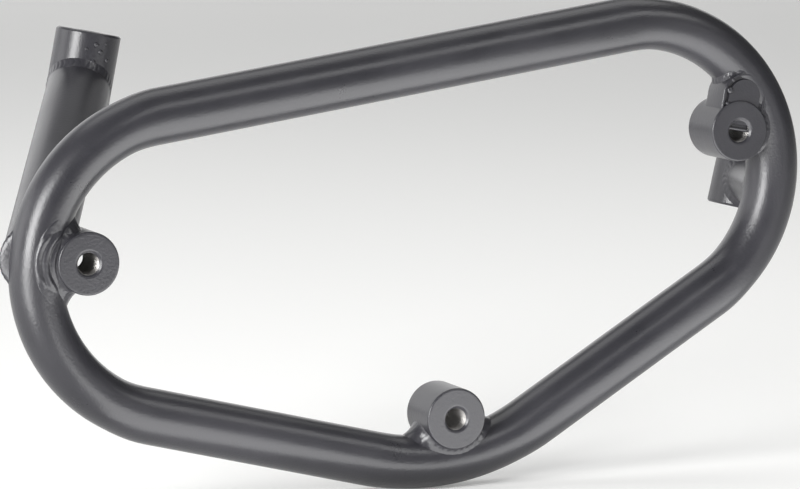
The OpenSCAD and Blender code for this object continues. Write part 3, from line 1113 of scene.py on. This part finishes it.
class PANNIER_OT_welds(bpy.types.Operator):
    """Makes the weld beads, each a strip laid in the corner between two skins."""

    bl_idname = "pannier.welds"
    bl_label = "Welds"

    def execute(self, context):
        weld = context.scene.pannier_weld
        boss = context.scene.pannier_boss
        rng = np.random.default_rng(weld.seed)
        places = {"left": (LEFT, boss.left_at), "lower": (BOTTOM, boss.lower_at),
                  "upper": (RIGHT, boss.upper_at)}
        for (side, (i, at)), web in zip(places.items(), weld.web_legs):
            parts = [self.boss_bead(side, i, at, web, rng)]
            if side == "left":
                parts.append(self.pad(i, at))
            make_weld(f"weld_boss_{side}", parts)
        make_weld("weld_gusset", [self.gusset_bead(rng)] + self.gusset_drops())
        for side in ("strut", "stub"):
            self.brace_beads(side, rng)
        return {"FINISHED"}

    def boss_bead(self, side, i, at, web, rng):
        """The bead round a boss, which widens to a web on each side of the tube."""
        boss = bpy.context.scene.pannier_boss
        weld = bpy.context.scene.pannier_weld
        skins = (RoundSkin(MOUNTS[f"boss_{side}_thread"]["pos_m"], OUT, boss.d / 2),
                 BendSkin(i))
        seam = boss_seam(i, at)
        deep = max(abs(p.y) for p in seam)
        web_shape = 1.5
        keep_off = boss.edge + 0.0002
        edge_front = boss.front - boss.edge * 0.6

        def legs(rows):
            beside = (1 - (rows[:, 1] / deep) ** 2) ** web_shape
            leg = weld.boss_leg + (web - weld.boss_leg) * beside
            high = weld.boss_leg + (web * weld.web_lean - weld.boss_leg) * beside
            room = np.where(rows[:, 1] < 0, rows[:, 1] + boss.front - keep_off, high)
            return np.minimum(high, np.maximum(room, high * beside)), leg

        verts, faces = bead(seam, skins, lambda normals: normals[::-1], legs, rng)
        return held_behind(verts, -edge_front), faces

    def pad(self, i, at):
        """Three crescent passes laid over the tube beside the left boss."""
        boss = bpy.context.scene.pannier_boss
        weld = bpy.context.scene.pannier_weld
        skin = BendSkin(i)
        middle = np.array(round_bend(i, at, boss.inset))
        angles = np.radians(np.linspace(-PAD_SWEEP, PAD_SWEEP, 2 * PAD_SWEEP + 1))
        reaches = np.linspace(*PAD_REACH, 61)
        rows = []
        for reach in reaches:
            p = middle + reach * np.stack([np.cos(at + angles), 0 * angles,
                                           np.sin(at + angles)], 1)
            height = np.full(len(angles), -PAD_SINK)
            for at_reach, sweep, share in PASSES:
                bow = at_reach - PASS_BOW * (angles / sweep) ** 2
                fade = eased((PASS_END - np.abs(angles) / sweep) / PASS_FADE)
                hump = np.exp(-((reach - bow) / weld.ridge_w) ** 2)
                height = np.maximum(height, weld.ridge * share * hump * fade
                                    + PAD_COVER * fade - PAD_SINK * (1 - fade))
            edge = eased((reaches[-1] - reach) / PAD_EDGE)
            height = height * edge - PAD_EDGE_SINK * (1 - edge)
            top = skin.front(p)
            normal = skin.normal(top)
            rows.append(np.concatenate([top + normal * height[:, None],
                                        (top - normal * PAD_ROOT)[::-1]]))
        behind_face = 0.00004
        verts = held_behind(np.concatenate(rows), -boss.front + behind_face, soft=0.0001)
        return verts, strip_faces(len(reaches), 2 * len(angles), False)

    def gusset_bead(self, rng):
        """The bead along the gusset's arch, on the bend."""
        weld = bpy.context.scene.pannier_weld
        boss = bpy.context.scene.pannier_boss
        face = boss.gusset_step - boss.front
        keep_off = 0.0009
        least_leg = 0.0003
        behind_face = 0.0001

        def legs(rows):
            leg = np.full(len(rows), weld.gusset_leg)
            return np.clip(rows[:, 1] - face - keep_off, least_leg, leg), leg

        verts, faces = bead(gusset_seam(), (ArchSkin(), BendSkin(RIGHT)),
                            lambda normals: normals[::-1], legs, rng, closed=False)
        return held_behind(verts, face + behind_face, soft=0.0002), faces

    def gusset_drops(self):
        """Spatter beside the gusset's groove."""
        boss = bpy.context.scene.pannier_boss
        arch = ArchSkin()
        face = boss.gusset_step - boss.front
        return [drop(arch.place(across, up, face), OUT, radius)
                for across, up, radius in GUSSET_DROPS]

    def sleeve_drops(self):
        """Spatter on the strut's sleeve, over its head bead."""
        mount = MOUNTS["strut_bolt_bore"]
        axis = Vector(mount["axis"])
        half = bpy.context.scene.pannier_brace.sleeve_d / 2
        drops = []
        for turn, up, radius in SLEEVE_DROPS:
            way = Matrix.Rotation(radians(turn), 3, axis) @ OUT
            drops.append(drop(Vector(mount["pos_m"]) + up * axis + half * way, way, radius))
        return drops

    def brace_beads(self, side, rng):
        """The foot and head beads of the strut or the stub."""
        brace = bpy.context.scene.pannier_brace
        weld = bpy.context.scene.pannier_weld
        width = brace.strut_d if side == "strut" else brace.stub_d
        feet, heads = brace_rings(side, width / 2, FOOT_POINTS)
        foot, head, bend, axis = brace_ends(side)
        direction = np.array((head - foot).normalized())
        bar = RoundSkin(foot, direction, width / 2)
        sleeve = RoundSkin(head, axis, brace.sleeve_d / 2)
        growth = 0.004

        def foot_legs(rows):
            share = eased((rows[:, 1] - brace.foot_end_y) / growth)
            leg = weld.foot_side_leg + (weld.foot_leg - weld.foot_side_leg) * share
            return leg, leg

        def head_legs(rows):
            leg = np.full(len(rows), weld.head_leg)
            return leg, leg

        make_weld(f"weld_{side}_loop", [bead(
            feet, (bar, BendSkin(bend)),
            lambda normals: (direction + 0 * normals[0], normals[0] - direction),
            foot_legs, rng)])
        drops = self.sleeve_drops() if side == "strut" else []
        make_weld(f"weld_{side}_sleeve", [bead(
            heads, (bar, sleeve),
            lambda normals: (-direction + 0 * normals[0], normals[0] + direction),
            head_legs, rng)] + drops)


class PANNIER_OT_stage(bpy.types.Operator):
    """Makes the pale floor, the soft lamps and the camera."""

    bl_idname = "pannier.stage"
    bl_label = "Stage"

    def execute(self, context):
        look = context.scene.pannier_stage
        low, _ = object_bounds()
        self.make_floor(low[2], look)
        self.make_world(look)
        self.make_camera(look)
        for name, offset, aim, wide, high, power in LAMPS:
            data = bpy.data.lights.new(name, "AREA")
            data.shape = "RECTANGLE"
            data.size = wide
            data.size_y = high
            data.energy = power * look.lamp_share
            self.place_lamp(data, Vector(look.target), Vector(offset), Vector(aim))
        context.scene.view_settings.view_transform = "Standard"
        return {"FINISHED"}

    def make_floor(self, level, look):
        """A floor under the frame, paler where the camera or the gloss sees it."""
        reach = 12
        roughness = 0.9
        mesh = bpy.data.meshes.new("floor")
        plane = bmesh.new()
        bmesh.ops.create_grid(plane, x_segments=1, y_segments=1, size=reach)
        bmesh.ops.translate(plane, verts=plane.verts, vec=(0, 0, level))
        plane.to_mesh(mesh)
        plane.free()
        floor = new_object("floor", mesh)
        material, tree, shader = new_material("Floor")
        shader.inputs["Base Color"].default_value = [*look.floor, 1]
        shader.inputs["Roughness"].default_value = roughness
        shader.inputs["Emission Color"].default_value = [*look.floor, 1]
        path = tree.nodes.new("ShaderNodeLightPath")
        seen = path.outputs["Is Camera Ray"]
        for ray in ("Is Glossy Ray", "Is Transmission Ray"):
            seen = math_node(tree, "ADD", seen, path.outputs[ray])
        glow = math_node(tree, "MULTIPLY", seen, look.floor_glow)
        tree.links.new(glow, shader.inputs["Emission Strength"])
        mesh.materials.append(material)
        floor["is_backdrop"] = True

    def make_world(self, look):
        """White light from all round, paler where the camera sees it."""
        world = bpy.data.worlds.new("Studio")
        bpy.context.scene.world = world
        world.use_nodes = True
        tree = world.node_tree
        back = tree.nodes["Background"]
        back.inputs["Color"].default_value = (1, 1, 1, 1)
        path = tree.nodes.new("ShaderNodeLightPath")
        strength = math_node(tree, "MULTIPLY_ADD", path.outputs["Is Camera Ray"],
                             look.sky_glow, look.ambient)
        tree.links.new(strength, back.inputs["Strength"])

    def make_camera(self, look):
        """The camera at the photograph's angle."""
        data = bpy.data.cameras.new("Camera")
        data.sensor_width = 36.0
        data.lens = data.sensor_width * look.away / look.picture_width
        data.clip_end = 50
        camera = new_object("Camera", data)
        ahead = Vector((sin(look.yaw) * cos(look.pitch), cos(look.yaw) * cos(look.pitch),
                        -sin(look.pitch)))
        camera.location = Vector(look.target) - look.away * ahead
        camera.rotation_euler = ahead.to_track_quat("-Z", "Y").to_euler()
        bpy.context.scene.camera = camera

    def place_lamp(self, data, target, offset, aim):
        """Puts a lamp at its offset from the target, faces it and hides it from the camera."""
        lamp = new_object(data.name, data)
        lamp.location = target + offset
        lamp.rotation_euler = (aim - offset).to_track_quat("-Z", "Y").to_euler()
        lamp.visible_camera = False


class PANNIER_PT_panel(bpy.types.Panel):
    """Lists the pieces of the pannier frame."""

    bl_idname = "PANNIER_PT_panel"
    bl_label = "Pannier frame"
    bl_space_type = "VIEW_3D"
    bl_region_type = "UI"
    bl_category = "Pannier"

    def draw(self, context):
        for operator in OPERATORS:
            self.layout.operator(operator.bl_idname)
        for setting in SETTINGS:
            box = self.layout.box()
            group = getattr(context.scene, setting)
            for name in group.__annotations__:
                box.prop(group, name)


OPERATORS = (
    PANNIER_OT_loop,
    PANNIER_OT_bosses,
    PANNIER_OT_gusset,
    PANNIER_OT_sleeves,
    PANNIER_OT_braces,
    PANNIER_OT_welds,
    PANNIER_OT_stage,
)


def register():
    for setting, group in SETTINGS.items():
        bpy.utils.register_class(group)
        setattr(bpy.types.Scene, setting, PointerProperty(type=group))
    for operator in OPERATORS:
        bpy.utils.register_class(operator)
    bpy.utils.register_class(PANNIER_PT_panel)


def unregister():
    bpy.utils.unregister_class(PANNIER_PT_panel)
    for operator in reversed(OPERATORS):
        bpy.utils.unregister_class(operator)
    for setting, group in reversed(SETTINGS.items()):
        delattr(bpy.types.Scene, setting)
        bpy.utils.unregister_class(group)


def main():
    """Registers the add-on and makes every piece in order."""
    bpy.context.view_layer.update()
    register()
    for operator in OPERATORS:
        category, name = operator.bl_idname.split(".")
        getattr(getattr(bpy.ops, category), name)()


if __name__ == "__main__":
    main()
